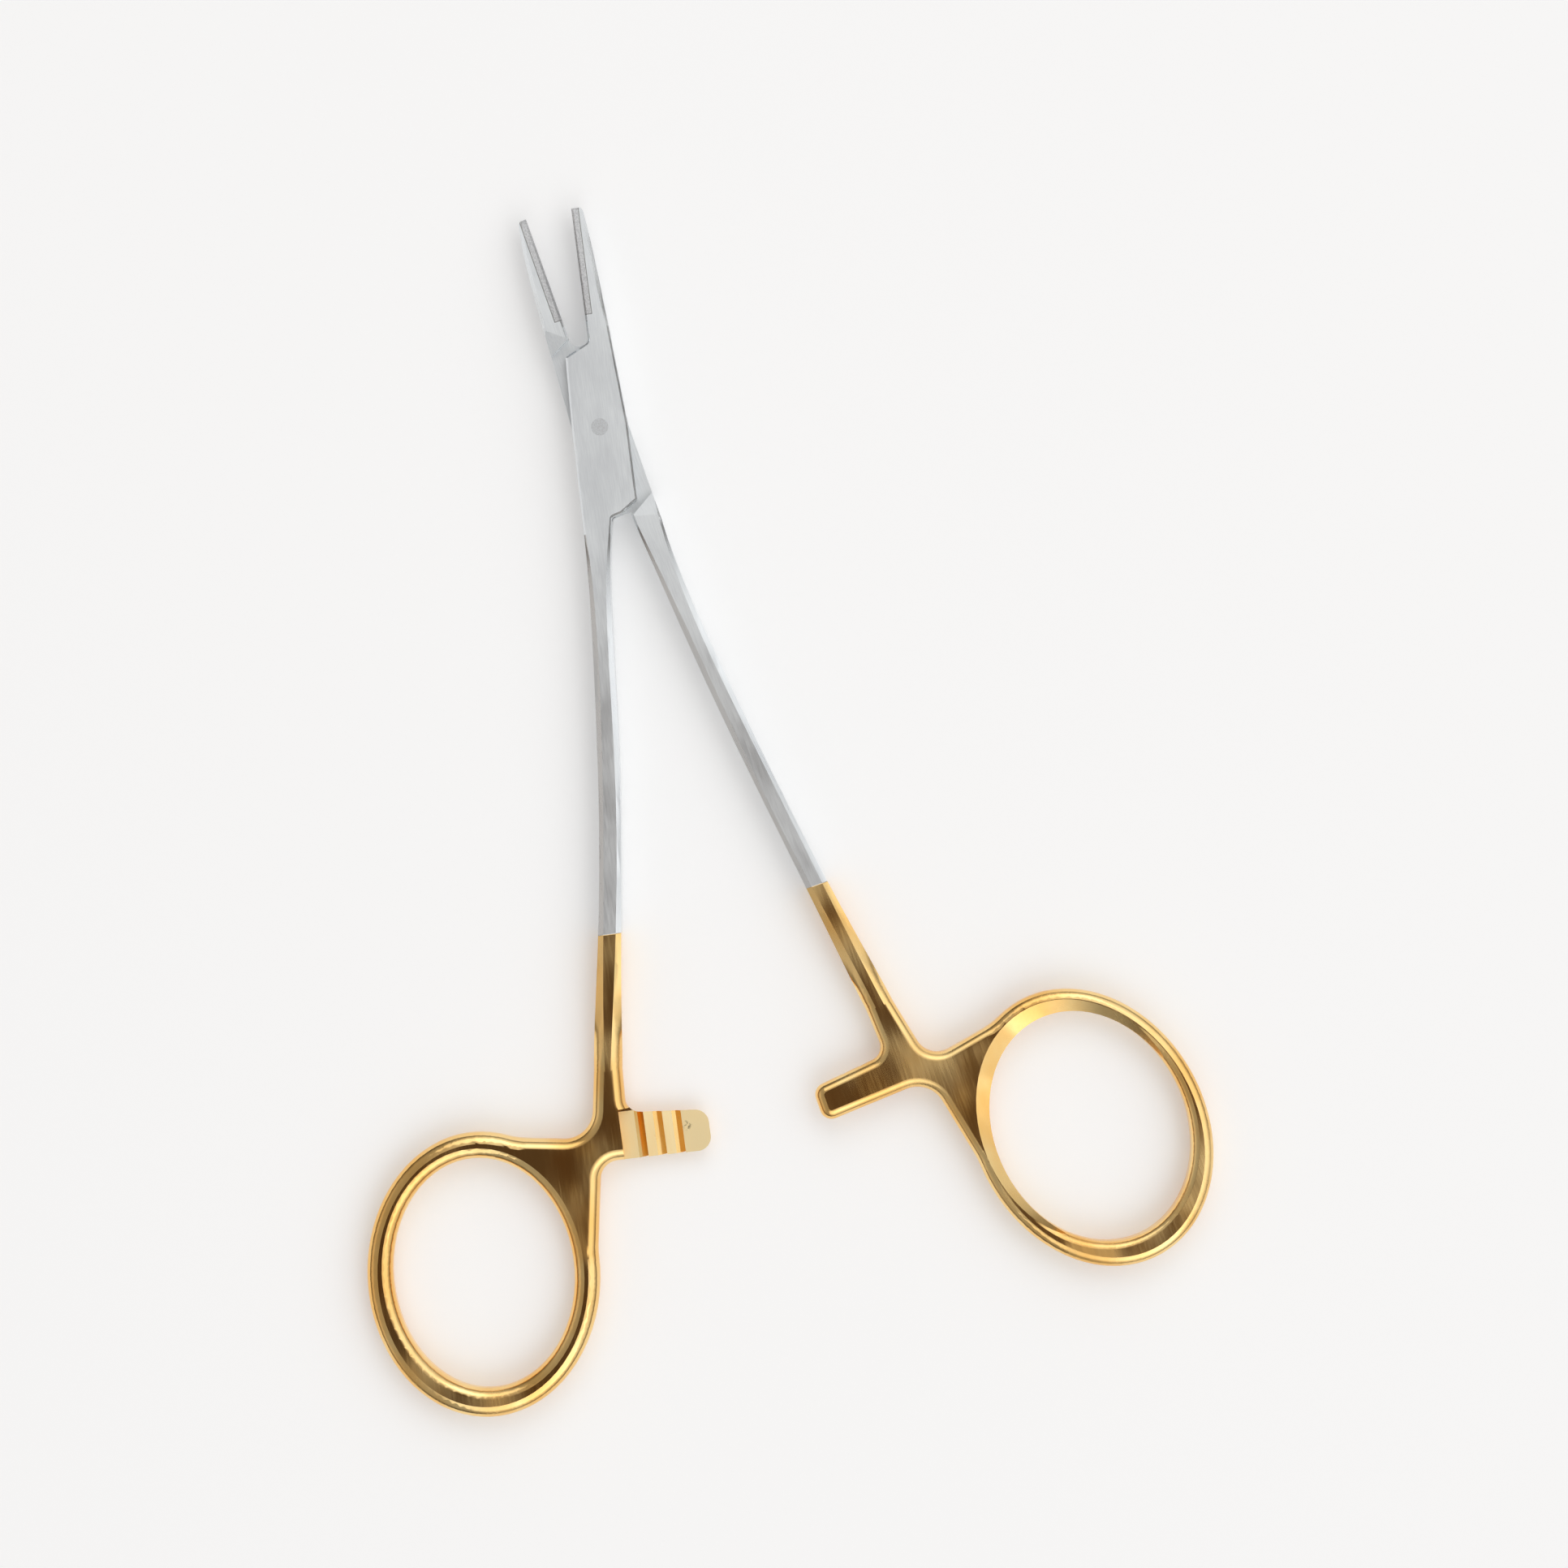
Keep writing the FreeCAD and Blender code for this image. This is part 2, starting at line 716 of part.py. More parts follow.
def make_shank(half):
    """The slim shank, bevelled along its length, thinning from the box to the rounded hub."""
    body = document.addObject("PartDesign::Body", half.name + "ShankForm")
    sections = []
    start = shank_top()
    span = size("hubTop") - start
    drop = size("boxThickness") - size("hubThickness")
    edge = (size("boxEdgeBevel"), size("boxEdgeBevel"))
    slim = (size("shankBevelRun"), size("shankBevelDrop"))
    flared = (size("shankFlareBevelRun"), size("shankFlareBevelDrop"))
    end_round = half.size("HubRound") + size("shankEndExtraRound")
    rounded = (end_round, end_round)
    stations = (
        ("ShankTop", start, edge),
        ("ShankNeck", size("shankNeck"), slim),
        ("ShankMiddle", size("shankMiddle"), slim),
        ("ShankLower", size("shankLower"), slim),
        ("ShankFlare", size("hubTop") - size("shankFlareRise"), flared),
        ("HubTop", size("hubTop"), rounded),
    )
    for station, below, bevel in stations:
        thickness = size("boxThickness") - drop * (below - start) / span
        outer = half.size(station + "Edge")
        inner = outer - half.size(station + "Width")
        name = half.name + station + "Section"
        near = -half.across(outer)
        far = -half.across(inner)
        section = add_section(body, name, below, near, far, thickness, *bevel, bevel is rounded)
        sections.append(section)
    document.recompute()
    add_loft(body, half.name + "Shank", sections)
    return body


def jaw_root(half):
    """How far above the pivot the jaw starts."""
    return size("boxCrotch") + half.size("JawRootRise")


def jaw_station(half, station):
    """How far above the pivot a cross section of the jaw lies, and how thick the jaw is there.

    The jaw leaves the box level and thins faster and faster towards its tip.
    """
    span = size("jawTip") - jaw_root(half)
    shares = {
        "Root": as_size(0.0),
        "Middle": size("jawMiddleShare"),
        "Nose": as_size(1.0) - size("jawNoseDrop") / span,
        "Tip": as_size(1.0),
    }
    share = shares[station]
    thinned = share.to_power(size("jawThinning"))
    thickness = size("boxThickness") - (size("boxThickness") - size("tipThickness")) * thinned
    return jaw_root(half) + span * share, thickness


def make_jaw(half):
    """The jaw as forged, flat on its closing side and bevelled outside, narrowing to the tip."""
    body = document.addObject("PartDesign::Body", half.name + "JawForm")
    middle = size("boxThickness") / 2
    inner = half.across(size("jawFaceGap"))
    sections = []
    for station in ("Root", "Middle", "Nose", "Tip"):
        above, thickness = jaw_station(half, station)
        sketch = add_sketch(body, f"{half.name}Jaw{station}Section", "XZ_Plane", -above)
        bevel = size("boxEdgeBevel") if station == "Root" else size("jawBevel")
        outer = half.across(half.size(f"Jaw{station}Width"))
        shoulder = outer - half.across(bevel)
        edge = size("boxEdgeBevel")
        draw_polygon(
            sketch,
            [
                (inner, middle - thickness / 2 + edge),
                (inner + half.across(edge), middle - thickness / 2),
                (shoulder, middle - thickness / 2),
                (outer, middle - thickness / 2 + bevel),
                (outer, middle + thickness / 2 - bevel),
                (shoulder, middle + thickness / 2),
                (inner + half.across(edge), middle + thickness / 2),
                (inner, middle + thickness / 2 - edge),
            ],
        )
        sections.append(sketch)
    document.recompute()
    add_loft(body, half.name + "Jaw", sections)
    round_tip(half, body)
    return body


def draw_tip_round(sketch, place, out, slope):
    """The sliver of metal outside a rounded corner at the jaw's tip.

    place() turns a distance above the pivot and a distance out from the jaw's middle into a point
    of the sketch. out is the corner's distance out, and slope how fast the side runs out below it.
    """
    tip = size("jawTip")
    leg = size("jawTipRound")
    spread = root(slope * slope + 1.0)
    radius = leg / (spread - slope)
    side_point = place(tip - leg, out + slope * leg)
    tip_point = place(tip, out - leg)
    chain = [
        tip_point,
        place(tip + OVERRUN, out - leg),
        place(tip + OVERRUN, out + OVERRUN),
        place(tip - leg, out + OVERRUN),
        side_point,
    ]
    spots = [FreeCAD.Vector(x.value, y.value, 0) for x, y in chain]
    first = sketch.GeometryCount
    for start, end in zip(spots[:-1], spots[1:]):
        sketch.addGeometry(Part.LineSegment(start, end), False)
    for index in range(3):
        joint = Sketcher.Constraint("Coincident", first + index, 2, first + index + 1, 1)
        sketch.addConstraint(joint)
    for index, point in enumerate(chain[:-1]):
        pin_point(sketch, first + index, 1, point)
    pin_point(sketch, first + 3, 2, side_point)
    chord = spots[0] - spots[4]
    middle = (spots[0] + spots[4]) / 2
    corner = place(tip, out)
    outward = FreeCAD.Vector(corner[0].value, corner[1].value, 0) - middle
    outward.normalize()
    sag = radius.value - math.sqrt(radius.value ** 2 - (chord.Length / 2) ** 2)
    arc = sketch.addGeometry(Part.Arc(spots[4], middle + outward * sag, spots[0]), False)
    starts_at_side = (sketch.getPoint(arc, 1) - spots[4]).Length < leg.value / 10
    side_end, tip_end = (1, 2) if starts_at_side else (2, 1)
    sketch.addConstraint(Sketcher.Constraint("Coincident", first + 3, 2, arc, side_end))
    sketch.addConstraint(Sketcher.Constraint("Coincident", first, 1, arc, tip_end))
    index = sketch.addConstraint(Sketcher.Constraint("Radius", arc, radius.value))
    sketch.setExpression(f"Constraints[{index}]", radius.formula)


def round_tip(half, body):
    """Rounds the jaw's nose, seen from above and from the side."""
    nose, nose_thickness = jaw_station(half, "Nose")
    length = size("jawTip") - nose
    tip_width = half.size("JawTipWidth")
    plan_slope = (half.size("JawNoseWidth") - tip_width) / length
    middle = size("boxThickness") / 2
    side_slope = (nose_thickness - size("tipThickness")) / 2 / length
    tip_half = size("tipThickness") / 2
    profile = add_sketch(body, half.name + "JawTipProfile", "YZ_Plane")
    draw_tip_round(profile, lambda along, out: (along, middle + out), tip_half, side_slope)
    draw_tip_round(profile, lambda along, out: (along, middle - out), tip_half, side_slope)
    document.recompute()
    add_pocket(body, half.name + "JawTipFaces", profile, half.size("Side") * 2, "both")
    plan = add_sketch(body, half.name + "JawTipPlan", "XY_Plane", size("boxThickness"))
    draw_tip_round(plan, lambda along, out: (half.across(out), along), tip_width, plan_slope)
    document.recompute()
    add_pocket(body, half.name + "JawTipSides", plan, size("boxThickness"))


def make_box(half):
    """The box: a block with a slot through its middle for the other half's tongue."""
    body = document.addObject("PartDesign::Body", half.name + "BlockForm")
    sketch = add_sketch(body, half.name + "BlockOutline", "XY_Plane")
    across = half.across
    side = half.size("Side")
    shank_inner = half.size("ShankTopEdge") - half.size("ShankTopWidth")
    crotch = (across(size("jawFaceGap")), size("boxCrotch"))
    heel_corner = (across(0.0), -size("boxHeelCorner"))
    cheek_top = (-across(size("boxCheekTopSide")), size("boxCheekTop"))
    draw_polygon(
        sketch,
        [
            cheek_top,
            crotch,
            (across(size("jawFaceGap")), jaw_root(half)),
            (across(size("boxJawRootWidth")), jaw_root(half)),
            (across(side), 0.0),
            (across(size("boxHeelSide")), -size("boxCheekHeel")),
            (across(size("boxHeelPointSide")), size("boxHeelPointRise") - size("boxHeelCorner")),
            heel_corner,
            (-across(shank_inner), -shank_top()),
            (-across(half.size("ShankTopEdge")), -shank_top()),
            (-across(side), 0.0),
        ],
    )
    document.recompute()
    add_pad(body, half.name + "Block", sketch, size("boxThickness"))
    round_corners(
        body,
        half.name + "BlockRound",
        [(crotch, size("boxCrotchRound")), (heel_corner, size("boxHeelRound"))],
    )
    bevel_block(half, body)
    slot_top = (size("boxThickness") + size("slotHeight")) / 2
    slot = add_sketch(body, half.name + "SlotOutline", "XY_Plane", slot_top)
    outside = side + OVERRUN
    slot_end = size("boxCrotch") + size("slotPastCrotch")
    slot_heel = size("boxHeelCorner") - size("slotShortOfHeel")
    crotch_relief = size("tongueCrotchRound")
    heel_relief = size("boxHeelRound")
    draw_polygon(
        slot,
        [
            (-across(outside), slot_end + crotch_relief),
            (across(size("jawFaceGap")), slot_end + crotch_relief),
            (across(size("jawFaceGap") + crotch_relief), slot_end),
            (across(size("slotCornerSide")), slot_end - size("sideGap")),
            (across(size("slotNeckSide")), size("slotNeckRise")),
            (across(side), size("slotMouthRise")),
            (across(outside), size("slotMouthRise")),
            (across(outside), -slot_heel - heel_relief),
            (-across(size("sideGap")), -slot_heel - heel_relief),
            (-across(size("sideGap") + heel_relief), -slot_heel),
            (-across(size("slotCornerSide")), -slot_heel + size("sideGap")),
            (-across(size("slotNeckSide")), -size("slotNeckRise")),
            (-across(side), -size("slotMouthRise")),
            (-across(outside), -size("slotMouthRise")),
        ],
    )
    document.recompute()
    add_pocket(body, half.name + "Slot", slot, size("slotHeight"))
    return body


def make_tongue(half):
    """The tongue: as wide as the box, thin enough for its slot, with a shoulder at each end."""
    body = document.addObject("PartDesign::Body", half.name + "BlockForm")
    sketch = add_sketch(body, half.name + "BlockOutline", "XY_Plane")
    across = half.across
    side = half.size("Side")
    gap = size("sideGap")
    shank_inner = half.size("ShankTopEdge") - half.size("ShankTopWidth")
    neck = size("slotNeckSide") - gap * 2
    corner = size("slotCornerSide") - gap
    top_reach = size("boxCrotch") + size("slotPastCrotch") - gap
    heel_reach = size("boxHeelCorner") - size("slotShortOfHeel") - gap
    jaw_inner = size("boxCrotch") + size("jawShoulderInnerGap")
    jaw_outer = size("boxCheekTop") + size("jawShoulderOuterGap")
    heel_inner = size("boxHeelCorner") + size("heelShoulderInnerGap")
    heel_outer = size("boxCheekHeel") + size("heelShoulderOuterGap")
    rise = size("tongueMouthRise")
    crotch = (across(size("jawFaceGap")), top_reach)
    heel_crotch = (-across(shank_inner), -heel_reach)
    draw_polygon(
        sketch,
        [
            (across(size("jawFaceGap")), jaw_root(half)),
            (across(size("tongueJawRootWidth")), jaw_root(half)),
            (across(side), 0.0),
            (across(side), -rise),
            (across(neck), -size("slotNeckRise")),
            (across(corner), -heel_reach + gap),
            heel_crotch,
            (-across(shank_inner), -shank_top()),
            (-across(half.size("ShankTopEdge")), -shank_top()),
            (-across(half.size("HeelSide")), -heel_outer),
            (-across(side), 0.0),
            (-across(side), rise),
            (-across(neck), size("slotNeckRise")),
            (-across(corner), top_reach - gap),
            crotch,
        ],
    )
    document.recompute()
    add_pad(body, half.name + "Block", sketch, size("boxThickness"))
    round_corners(
        body,
        half.name + "BlockRound",
        [(crotch, size("tongueCrotchRound")), (heel_crotch, size("boxHeelRound"))],
    )
    bevel_block(half, body)
    thickness = size("slotHeight") - size("slotGap") * 2
    tongue_bottom = (size("boxThickness") - thickness) / 2
    jaw_slope = (jaw_inner - jaw_outer) / side
    heel_slope = (heel_inner - heel_outer) / side
    outside = side + OVERRUN
    recess = [
        (-across(outside), jaw_inner + jaw_slope * outside),
        (across(outside), jaw_inner - jaw_slope * outside),
        (across(outside), -heel_inner - heel_slope * outside),
        (-across(outside), -heel_inner + heel_slope * outside),
    ]
    for name, height in (("Upper", size("boxThickness")), ("Lower", tongue_bottom)):
        sketch = add_sketch(body, f"{half.name}{name}Recess", "XY_Plane", height)
        draw_polygon(sketch, recess)
        document.recompute()
        add_pocket(body, f"{half.name}{name}Cut", sketch, tongue_bottom)
    jaw_face = across(size("jawFaceGap"))
    jaw_edge = across(size("tongueJawRootWidth"))
    shoulder_facets(
        half,
        body,
        "JawFacet",
        (jaw_face, jaw_inner),
        (jaw_edge, jaw_outer + size("tongueJawFacetEnd")),
        (jaw_edge, jaw_outer),
        size("tongueJawFacetDrop"),
    )
    shank_edge = -across(half.size("HeelSide"))
    shoulder_facets(
        half,
        body,
        "HeelFacet",
        (-across(shank_inner), -heel_inner),
        (shank_edge, -heel_outer - size("tongueHeelFacetEnd")),
        (shank_edge, -heel_outer),
        size("tongueHeelFacetDrop"),
    )
    return body


def shoulder_facets(half, body, name, inner, end, outer, drop):
    """Slopes both faces of a shoulder down to its outer corner, in a three-cornered facet.

    The facet hinges on the line from the shoulder's inner point to its end on the outer edge, and
    is lowest at the shoulder's outer point.
    """
    run_x = end[0] - inner[0]
    run_y = end[1] - inner[1]
    length = root(run_x * run_x + run_y * run_y)
    reach = ((outer[0] - inner[0]) * run_y - (outer[1] - inner[1]) * run_x) / length
    past = reach * FACET_OVERRUN
    sketch = add_sketch(body, half.name + name + "Outline", "XZ_Plane", -inner[1])
    turn = FreeCAD.Rotation(FreeCAD.Vector(0, 1, 0), 1)
    sketch.AttachmentOffset = FreeCAD.Placement(FreeCAD.Vector(0, 0, -inner[1].value), turn)
    sketch.setExpression("AttachmentOffset.Base.x", inner[0].formula)
    angle = f"atan2({(-run_x).formula}; {run_y.formula})"
    sketch.setExpression("AttachmentOffset.Rotation.Angle", angle)
    top = size("boxThickness")
    for face, away in ((top, 1), (as_size(0.0), -1)):
        draw_polygon(
            sketch,
            [
                (0.0, face),
                (past, face - drop * FACET_OVERRUN * away),
                (past, face + as_size(OVERRUN) * away),
                (0.0, face + as_size(OVERRUN) * away),
            ],
        )
    document.recompute()
    add_pocket(body, half.name + name, sketch, (length + OVERRUN) * 2, "both")


def fuse(name, pieces):
    fused = document.addObject("Part::MultiFuse", name)
    fused.Shapes = pieces
    fused.Refine = True
    document.recompute()
    return fused


def upright_cylinder(name, diameter):
    cylinder = document.addObject("Part::Cylinder", name)
    cylinder.setExpression("Radius", (diameter / 2).formula)
    cylinder.setExpression("Height", size("boxThickness").formula)
    document.recompute()
    return cylinder


def insert_space(half):
    """The space that the carbide plate takes up in the jaw's closing side."""
    space = document.addObject("Part::Box", half.name + "InsertSpace")
    edge = size("jawFaceGap") + size("insertThickness")
    start = edge - edge * 2 if half.side > 0 else -edge
    space.setExpression("Length", (edge * 2).formula)
    space.setExpression("Width", (size("jawTip") - size("insertStart") + OVERRUN).formula)
    space.setExpression("Height", size("boxThickness").formula)
    space.setExpression("Placement.Base.x", start.formula)
    space.setExpression("Placement.Base.y", size("insertStart").formula)
    document.recompute()
    return space


def cut(name, base, tool):
    result = document.addObject("Part::Cut", name)
    result.Base = base
    result.Tool = tool
    result.Refine = True
    document.recompute()
    return result


def common(name, base, tool):
    result = document.addObject("Part::Common", name)
    result.Base = base
    result.Tool = tool
    document.recompute()
    return result


def swing_open(piece):
    """Turns a piece of the tongue half about the pivot to its rest pose."""
    piece.Placement = FreeCAD.Placement(FreeCAD.Vector(), FreeCAD.Rotation(FreeCAD.Vector(0, 0, 1), 1))
    piece.setExpression("Placement.Rotation.Angle", "Sizes.openAngle * 1 deg")
    document.recompute()


def make_half(half, make_block, bore_diameter):
    """A whole forging with its bore and the seat for its carbide plate, and that plate."""
    jaw = make_jaw(half)
    space = insert_space(half)
    seat = cut(half.name + "JawWithSeat", jaw, space)
    insert = common(half.name + "Insert", jaw, space)
    insert.Label = half.name + "_jaw_insert"
    pieces = [make_block(half), seat, make_shank(half), make_hub(half)]
    forging = fuse(half.name + "Forging", pieces)
    bore = upright_cylinder(half.name + "BoreSpace", bore_diameter)
    finished = cut(half.name + "Half", forging, bore)
    finished.Label = half.name + "_half"
    return finished, insert


box = Half("box", 1, teeth_up=True, sloped_ring=False)
tongue = Half("tongue", -1, teeth_up=False, sloped_ring=True)
box_half, box_insert = make_half(box, make_box, size("pinDiameter"))
tongue_bore = size("pinDiameter") + size("pinGap") * 2
tongue_half, tongue_insert = make_half(tongue, make_tongue, tongue_bore)
swing_open(tongue_half)
swing_open(tongue_insert)
pin = upright_cylinder("PivotPin", size("pinDiameter"))
pin.Label = "pivot_pin"

parts = [box_half, tongue_half, pin, box_insert, tongue_insert]
for item in document.Objects:
    if "Invalid" in item.State or "Error" in item.State:
        raise RuntimeError(f"{item.Name} failed: {item.State}")
for item in parts:
    if item.Shape.isNull() or not item.Shape.isValid():
        raise RuntimeError(f"{item.Label} has no valid shape")
os.makedirs("parts", exist_ok=True)
for item in parts:
    item.Shape.exportStep(f"parts/{item.Label}.step")
    box_size = item.Shape.BoundBox
    print(f"{item.Label}: {len(item.Shape.Solids)} solid, {item.Shape.Volume:.1f} cubic mm, {box_size}")
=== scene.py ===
import json
import math

import bmesh
import bpy
from mathutils import Matrix, Vector

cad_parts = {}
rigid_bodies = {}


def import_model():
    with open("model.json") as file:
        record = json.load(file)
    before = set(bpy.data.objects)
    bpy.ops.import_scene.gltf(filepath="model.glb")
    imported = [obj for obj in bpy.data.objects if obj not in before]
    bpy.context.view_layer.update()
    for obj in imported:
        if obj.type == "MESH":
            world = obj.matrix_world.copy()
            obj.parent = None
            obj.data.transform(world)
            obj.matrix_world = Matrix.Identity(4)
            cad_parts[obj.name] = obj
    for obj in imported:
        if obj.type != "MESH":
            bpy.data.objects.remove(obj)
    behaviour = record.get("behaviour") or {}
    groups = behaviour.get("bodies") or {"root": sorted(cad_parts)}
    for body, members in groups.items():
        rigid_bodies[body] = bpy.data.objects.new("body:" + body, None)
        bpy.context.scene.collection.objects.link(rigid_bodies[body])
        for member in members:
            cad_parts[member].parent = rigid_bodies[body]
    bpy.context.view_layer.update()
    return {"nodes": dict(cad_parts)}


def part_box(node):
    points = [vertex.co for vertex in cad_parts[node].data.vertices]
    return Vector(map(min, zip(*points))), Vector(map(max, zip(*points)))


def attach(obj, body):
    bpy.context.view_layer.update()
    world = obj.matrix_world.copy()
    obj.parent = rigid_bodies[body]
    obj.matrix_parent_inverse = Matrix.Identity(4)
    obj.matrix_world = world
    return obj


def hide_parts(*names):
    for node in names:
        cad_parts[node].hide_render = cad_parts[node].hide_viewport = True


for leftover in list(bpy.data.objects):
    bpy.data.objects.remove(leftover)
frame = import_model()
nodes = frame["nodes"]

# Outer forging with the box lock.
# The outer half is one stainless forging: right jaw, box, left shank and left finger ring. It is
# ground to a fine satin from the jaw to two thirds down the shank, and below a sharp line it is
# polished and gold plated.

RISING = (0.0, 1.0)
FALLING = (1.0, 0.0)


def feed(tree, socket, value):
    """Links a node's output to a socket, or sets the socket to a plain number or colour."""
    if isinstance(value, bpy.types.NodeSocket):
        tree.links.new(value, socket)
    else:
        socket.default_value = value


def add_node(tree, kind, label, **settings):
    """Adds a shader node; settings are named after its sockets or its own properties."""
    made = tree.nodes.new(kind)
    made.label = label
    for name, value in settings.items():
        socket = name.replace("_", " ")
        if socket in made.inputs:
            feed(tree, made.inputs[socket], value)
        else:
            setattr(made, name, value)
    return made


def split(tree, label, vector):
    """The X, Y and Z of a vector."""
    return add_node(tree, "ShaderNodeSeparateXYZ", label, Vector=vector).outputs


def stretched_noise(tree, place, label, stretch, detail, roughness=0.5):
    """Noise whose spots are as wide and long as 1 / stretch, in metres."""
    mapping = add_node(tree, "ShaderNodeMapping", label + " stretch", Vector=place, Scale=stretch)
    noise = add_node(tree, "ShaderNodeTexNoise", label, Vector=mapping.outputs["Vector"],
                     Scale=1.0, Detail=detail, Roughness=roughness)
    return noise.outputs["Fac"]


def remap(tree, value, label, source, target=RISING):
    """Maps a value smoothly from its low and high end onto another range."""
    ramp = add_node(tree, "ShaderNodeMapRange", label, interpolation_type="SMOOTHSTEP",
                    Value=value, From_Min=source[0], From_Max=source[1],
                    To_Min=target[0], To_Max=target[1])
    return ramp.outputs["Result"]


def reckon(tree, label, operation, *values):
    """A math node on one to three values, each a socket or a number."""
    made = add_node(tree, "ShaderNodeMath", label, operation=operation)
    for socket, value in zip(made.inputs, values):
        feed(tree, socket, value)
    return made.outputs["Value"]


def distance_from(tree, label, value, mark):
    """How far a value is from a mark, to either side of it."""
    signed = reckon(tree, label + ", signed", "SUBTRACT", value, mark)
    return reckon(tree, label, "ABSOLUTE", signed)


def blend(tree, label, kind, factor, first, second, **settings):
    """Mixes two colours (kind RGBA) or two numbers (kind VALUE), each plain or a socket."""
    data_type = "FLOAT" if kind == "VALUE" else kind
    made = add_node(tree, "ShaderNodeMix", label, data_type=data_type, Factor=factor, **settings)
    sides = [socket for socket in made.inputs if socket.type == kind and socket.name in ("A", "B")]
    for socket, value in zip(sides, (first, second)):
        feed(tree, socket, value)
    return next(socket for socket in made.outputs if socket.type == kind)


def start_group(name, inputs, outputs):
    """A new shader node group with named sockets, and the sockets to build between."""
    group = bpy.data.node_groups.new(name, "ShaderNodeTree")
    for direction, sockets in (("INPUT", inputs), ("OUTPUT", outputs)):
        for socket, kind in sockets.items():
            group.interface.new_socket(socket, in_out=direction, socket_type="NodeSocket" + kind)
    into = group.nodes.new("NodeGroupInput").outputs
    return group, into, group.nodes.new("NodeGroupOutput").inputs


FINISH_SOCKETS = {"Color": "Color", "Roughness": "Float", "Height": "Float"}
# Where most of a noise's values lie.
NOISE_SPREAD = (0.3, 0.7)
STEEL_LIGHT = (0.85, 0.875, 0.885, 1.0)
STEEL_DARK = (0.74, 0.765, 0.785, 1.0)
MARKS_IN_TONE = 0.45
CLOUDS_IN_TONE = 0.55
MARK_HEIGHT = 0.015
SATIN_ALONG = (-0.034, -0.008)
SATIN_ROUGHNESS = (0.38, 0.55)
BEVEL_ROUGHNESS = 0.30
EDGE_ROUGHNESS = 0.12
# How upright a surface's normal is, from 0 on a side to 1 on a flat, where a mask starts and ends.
BEVEL_FACING = (0.90, 0.975)
EDGE_TOP_FACING = (0.76, 0.82)
EDGE_FOOT_FACING = (0.45, 0.62)


def ground_roughness(tree, along, facing_up):
    """Satin that is duller towards the box, smoother on bevels and smoothest on ground edges."""
    level = reckon(tree, "up or down", "ABSOLUTE", facing_up)
    satin = blend(tree, "bevels are smoother", "VALUE",
                  remap(tree, level, "bevels and facets", BEVEL_FACING, FALLING),
                  remap(tree, along, "duller towards the box", SATIN_ALONG, SATIN_ROUGHNESS),
                  BEVEL_ROUGHNESS)
    edges = reckon(tree, "ground edges", "MULTIPLY",
                   remap(tree, level, "steeper than a bevel", EDGE_TOP_FACING, FALLING),
                   remap(tree, level, "flatter than a side", EDGE_FOOT_FACING))
    return blend(tree, "edges are smoothest", "VALUE", edges, satin, EDGE_ROUGHNESS)


def make_satin_group():
    """Brushed surgical steel: fine lengthwise grinding marks over a faint cloudiness."""
    group, into, out = start_group("satin_steel", {"Place": "Vector", "Normal": "Vector"},
                                   FINISH_SOCKETS)
    place = into["Place"]
    clouds = stretched_noise(group, place, "clouds", (260.0, 120.0, 260.0), 2.0)
    marks = stretched_noise(group, place, "grinding marks", (9000.0, 500.0, 9000.0), 2.0, 0.6)
    tone = reckon(group, "marks and clouds", "MULTIPLY_ADD", marks, MARKS_IN_TONE,
                  reckon(group, "clouds part", "MULTIPLY", clouds, CLOUDS_IN_TONE))
    lightness = remap(group, tone, "tone", (0.32, 0.68))
    feed(group, out["Color"],
         blend(group, "steel tone", "RGBA", lightness, STEEL_DARK, STEEL_LIGHT))
    ground = ground_roughness(group, split(group, "across and along", place)["Y"],
                              split(group, "which way the metal faces", into["Normal"])["Z"])
    feed(group, out["Roughness"],
         reckon(group, "steel roughness", "ADD", ground,
                remap(group, tone, "satin", NOISE_SPREAD, (-0.05, 0.05))))
    feed(group, out["Height"], reckon(group, "shallow marks", "MULTIPLY", marks, MARK_HEIGHT))
    return group


GOLD_LIGHT = (1.0, 0.72, 0.32, 1.0)
GOLD_DEEP = (0.94, 0.55, 0.17, 1.0)
BLOTCH_DULLING = 0.20
PIT_DULLING = 0.25
PIT_HEIGHT = -0.015
HAIRLINE_HEIGHT = 0.004


